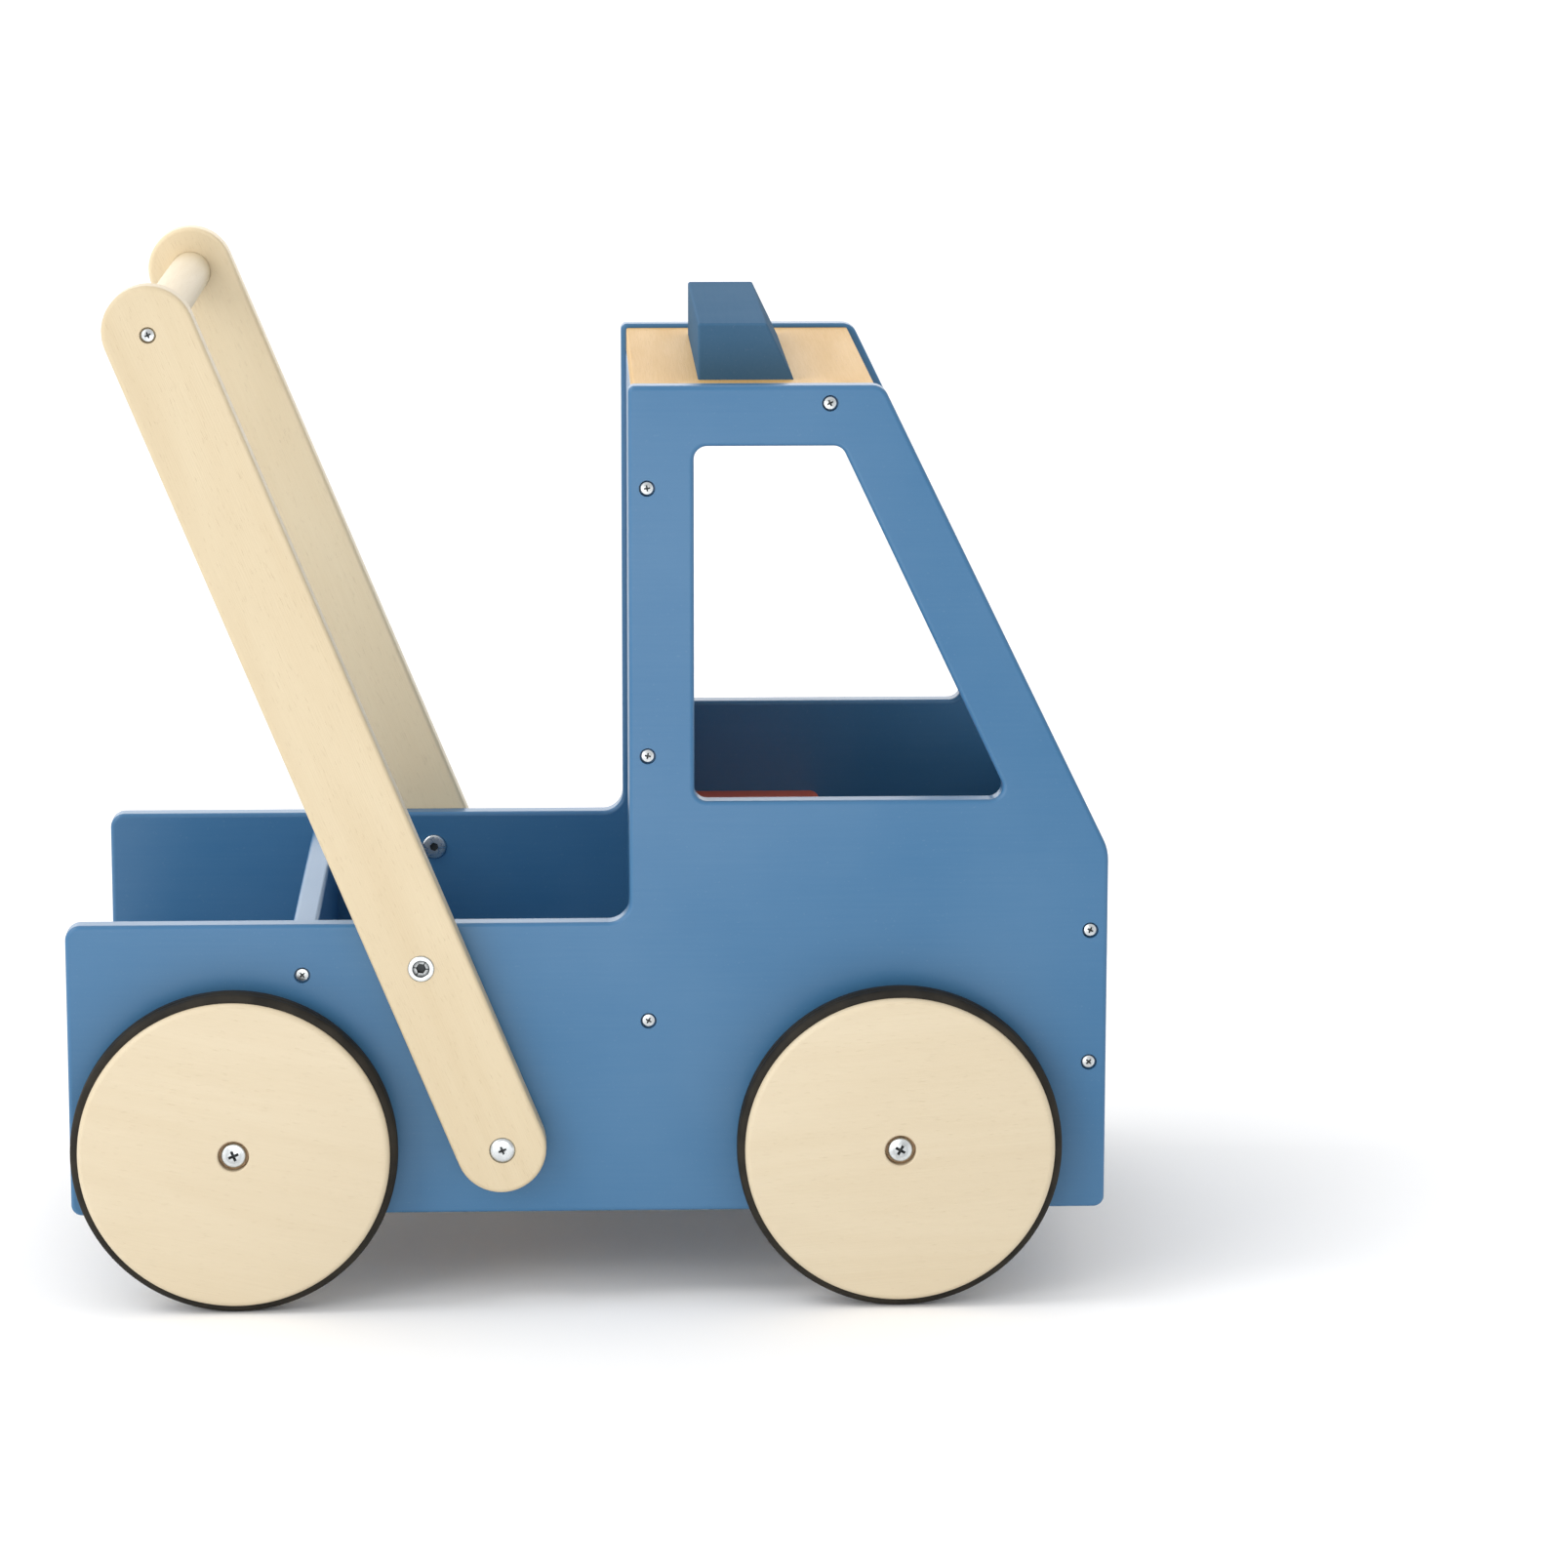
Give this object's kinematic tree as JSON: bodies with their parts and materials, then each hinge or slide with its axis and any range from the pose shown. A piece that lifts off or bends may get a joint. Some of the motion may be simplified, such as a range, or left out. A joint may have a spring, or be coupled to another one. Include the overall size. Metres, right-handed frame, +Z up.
{
  "type": "baby walker",
  "caption": "Push-along wooden truck for a toddler: blue plywood body with an open cab and cargo bed, leaning birch push handle, and birch wheels with rubber tyres.",
  "frame": {"origin": "on the ground, under the middle of the walker's box", "axes": "+X forward, +Y to the walker's left, +Z up"},
  "size_m": [0.48, 0.322, 0.4738],
  "materials": {
    "blue_paint": "satin paint on birch plywood",
    "red_paint": "satin paint on birch plywood",
    "birch_handle": "clear matt lacquer",
    "birch_wheel": "clear matt lacquer",
    "birch_roof": "clear matt lacquer",
    "birch_base": "clear matt lacquer",
    "tyre_rubber": "matt rubber",
    "bush_nylon": "matt",
    "zinc_steel": "bright zinc plate",
    "brass_insert": "turned"
  },
  "bodies": {
    "chassis": {"arm_connector_bolts": "zinc_steel", "arm_sleeve_nuts": "zinc_steel", "axle_sleeves": "zinc_steel", "beam_inserts": "brass_insert", "beam_screws": "zinc_steel", "cab_rear_wall": "blue_paint", "floor_board": "blue_paint", "floor_screws": "zinc_steel", "front_axle_beam": "birch_base", "front_wall": "blue_paint", "handle_arm_left": "birch_handle", "handle_arm_right": "birch_handle", "handle_bar": "birch_handle", "handle_beam": "birch_base", "handle_screws": "zinc_steel", "light_screws": "zinc_steel", "lower_arm_bolts": "zinc_steel", "panel_screws_left": "zinc_steel", "panel_screws_right": "zinc_steel", "rear_axle_beam": "birch_base", "roof_board": "birch_roof", "roof_light_block": "blue_paint", "seat_board": "red_paint", "seat_riser": "red_paint", "seat_screws": "zinc_steel", "side_panel_left": "blue_paint", "side_panel_right": "blue_paint", "tail_board": "blue_paint", "wheel_bolts": "zinc_steel", "wheel_spacers": "bush_nylon"},
    "wheel_front_left": {"tyre_front_left": "tyre_rubber", "wheel_bush_front_left": "bush_nylon", "wheel_disc_front_left": "birch_wheel"},
    "wheel_front_right": {"tyre_front_right": "tyre_rubber", "wheel_bush_front_right": "bush_nylon", "wheel_disc_front_right": "birch_wheel"},
    "wheel_rear_left": {"tyre_rear_left": "tyre_rubber", "wheel_bush_rear_left": "bush_nylon", "wheel_disc_rear_left": "birch_wheel"},
    "wheel_rear_right": {"tyre_rear_right": "tyre_rubber", "wheel_bush_rear_right": "bush_nylon", "wheel_disc_rear_right": "birch_wheel"}
  },
  "joints": [
    {"name": "wheel_front_left_spin", "type": "hinge", "parent": "chassis", "child": "wheel_front_left", "pos_m": [0.1432, 0.151, 0.0752], "axis": [0, 1, 0], "continuous": true},
    {"name": "wheel_front_right_spin", "type": "hinge", "parent": "chassis", "child": "wheel_front_right", "pos_m": [0.1432, -0.151, 0.0752], "axis": [0, 1, 0], "continuous": true},
    {"name": "wheel_rear_left_spin", "type": "hinge", "parent": "chassis", "child": "wheel_rear_left", "pos_m": [-0.1632, 0.151, 0.0752], "axis": [0, 1, 0], "continuous": true},
    {"name": "wheel_rear_right_spin", "type": "hinge", "parent": "chassis", "child": "wheel_rear_right", "pos_m": [-0.1632, -0.151, 0.0752], "axis": [0, 1, 0], "continuous": true}
  ]
}
